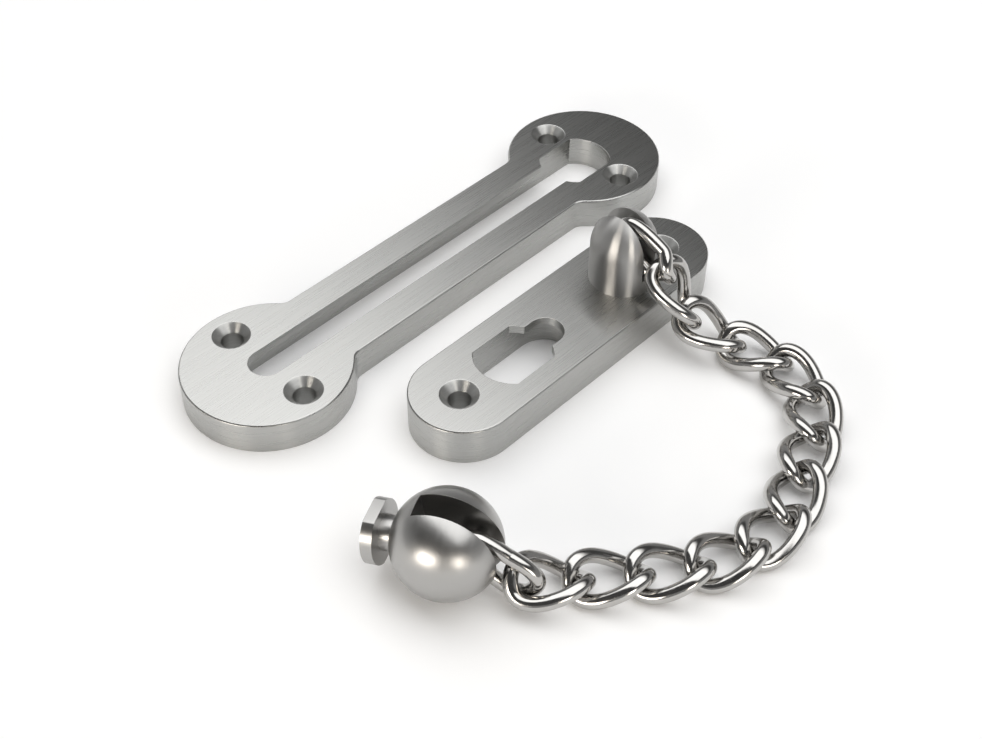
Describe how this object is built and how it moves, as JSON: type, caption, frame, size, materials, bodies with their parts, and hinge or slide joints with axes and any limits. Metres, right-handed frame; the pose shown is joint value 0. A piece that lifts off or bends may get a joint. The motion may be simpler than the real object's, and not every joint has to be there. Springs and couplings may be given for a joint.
{
  "type": "door chain",
  "caption": "Door chain of satin steel: a long slotted track plate, a short anchor plate with a slotted post, a curb chain and a ball with a flanged neck.",
  "frame": {"origin": "middle of the anchor plate's back, on the plane that everything lies on", "axes": "+X along both plates toward the post, +Y across them toward the track plate, +Z out of the door"},
  "size_m": [0.137, 0.123, 0.0256],
  "materials": {
    "satin_steel": "satin, brushed along the plate",
    "turned_steel": "satin, turned",
    "chain_steel": "polished"
  },
  "bodies": {
    "anchor": {"anchor_plate": "satin_steel", "post": "turned_steel", "post_pin": "chain_steel", "track_plate": "satin_steel"},
    "link_01": {"link_01": "chain_steel"},
    "link_02": {"link_02": "chain_steel"},
    "link_03": {"link_03": "chain_steel"},
    "link_04": {"link_04": "chain_steel"},
    "link_05": {"link_05": "chain_steel"},
    "link_06": {"link_06": "chain_steel"},
    "link_07": {"link_07": "chain_steel"},
    "link_08": {"link_08": "chain_steel"},
    "link_09": {"link_09": "chain_steel"},
    "link_10": {"link_10": "chain_steel"},
    "link_11": {"link_11": "chain_steel"},
    "link_12": {"link_12": "chain_steel"},
    "link_13": {"link_13": "chain_steel"},
    "end_link": {"end_link": "chain_steel"},
    "ball": {"ball": "turned_steel", "ball_pin": "chain_steel"}
  },
  "joints": [
    {"name": "link_01_lift", "type": "hinge", "parent": "anchor", "child": "link_01", "pos_m": [0.0182, -0.0023, 0.021], "axis": [-1, 0, 0], "range_deg": [0, 100]},
    {"name": "link_02_lift", "type": "hinge", "parent": "link_01", "child": "link_02", "pos_m": [0.0182, -0.01111, 0.0166], "axis": [-0.9956, -0.0941, 0], "range_deg": [-4, 30]},
    {"name": "link_03_lift", "type": "hinge", "parent": "link_02", "child": "link_03", "pos_m": [0.01886, -0.01806, 0.00813], "axis": [-0.9018, -0.4321, 0], "range_deg": [-45, 6]},
    {"name": "link_04_swing", "type": "hinge", "parent": "link_03", "child": "link_04", "pos_m": [0.02311, -0.02693, 0.00344], "axis": [0, 0, 1], "range_deg": [-4, 30]},
    {"name": "link_05_swing", "type": "hinge", "parent": "link_04", "child": "link_05", "pos_m": [0.02519, -0.03762, 0.00344], "axis": [0, 0, 1], "range_deg": [-5, 45]},
    {"name": "link_06_swing", "type": "hinge", "parent": "link_05", "child": "link_06", "pos_m": [0.02163, -0.04796, 0.00344], "axis": [0, 0, 1], "range_deg": [-5, 45]},
    {"name": "link_07_swing", "type": "hinge", "parent": "link_06", "child": "link_07", "pos_m": [0.01331, -0.05519, 0.00344], "axis": [0, 0, 1], "range_deg": [-5, 40]},
    {"name": "link_08_swing", "type": "hinge", "parent": "link_07", "child": "link_08", "pos_m": [0.00273, -0.05883, 0.00344], "axis": [0, 0, 1], "range_deg": [-6, 16]},
    {"name": "link_09_swing", "type": "hinge", "parent": "link_08", "child": "link_09", "pos_m": [-0.00732, -0.06362, 0.00344], "axis": [0, 0, 1], "range_deg": [-5, 45]},
    {"name": "link_10_swing", "type": "hinge", "parent": "link_09", "child": "link_10", "pos_m": [-0.01836, -0.06314, 0.00344], "axis": [0, 0, 1], "range_deg": [-6, 40]},
    {"name": "link_11_swing", "type": "hinge", "parent": "link_10", "child": "link_11", "pos_m": [-0.02865, -0.05878, 0.00344], "axis": [0, 0, 1], "range_deg": [-6, 35]},
    {"name": "link_12_swing", "type": "hinge", "parent": "link_11", "child": "link_12", "pos_m": [-0.03764, -0.052, 0.00344], "axis": [0, 0, 1], "range_deg": [-6, 25]},
    {"name": "link_13_swing", "type": "hinge", "parent": "link_12", "child": "link_13", "pos_m": [-0.04616, -0.0446, 0.00344], "axis": [0, 0, 1], "range_deg": [-10, 16]},
    {"name": "end_link_lift", "type": "hinge", "parent": "link_13", "child": "end_link", "pos_m": [-0.05463, -0.03888, 0.00577], "axis": [0.9063, 0.4226, 0], "range_deg": [-6, 14]},
    {"name": "ball_lift", "type": "hinge", "parent": "end_link", "child": "ball", "pos_m": [-0.05838, -0.03083, 0.01118], "axis": [0.9063, 0.4226, 0], "range_deg": [-20, 60]}
  ]
}
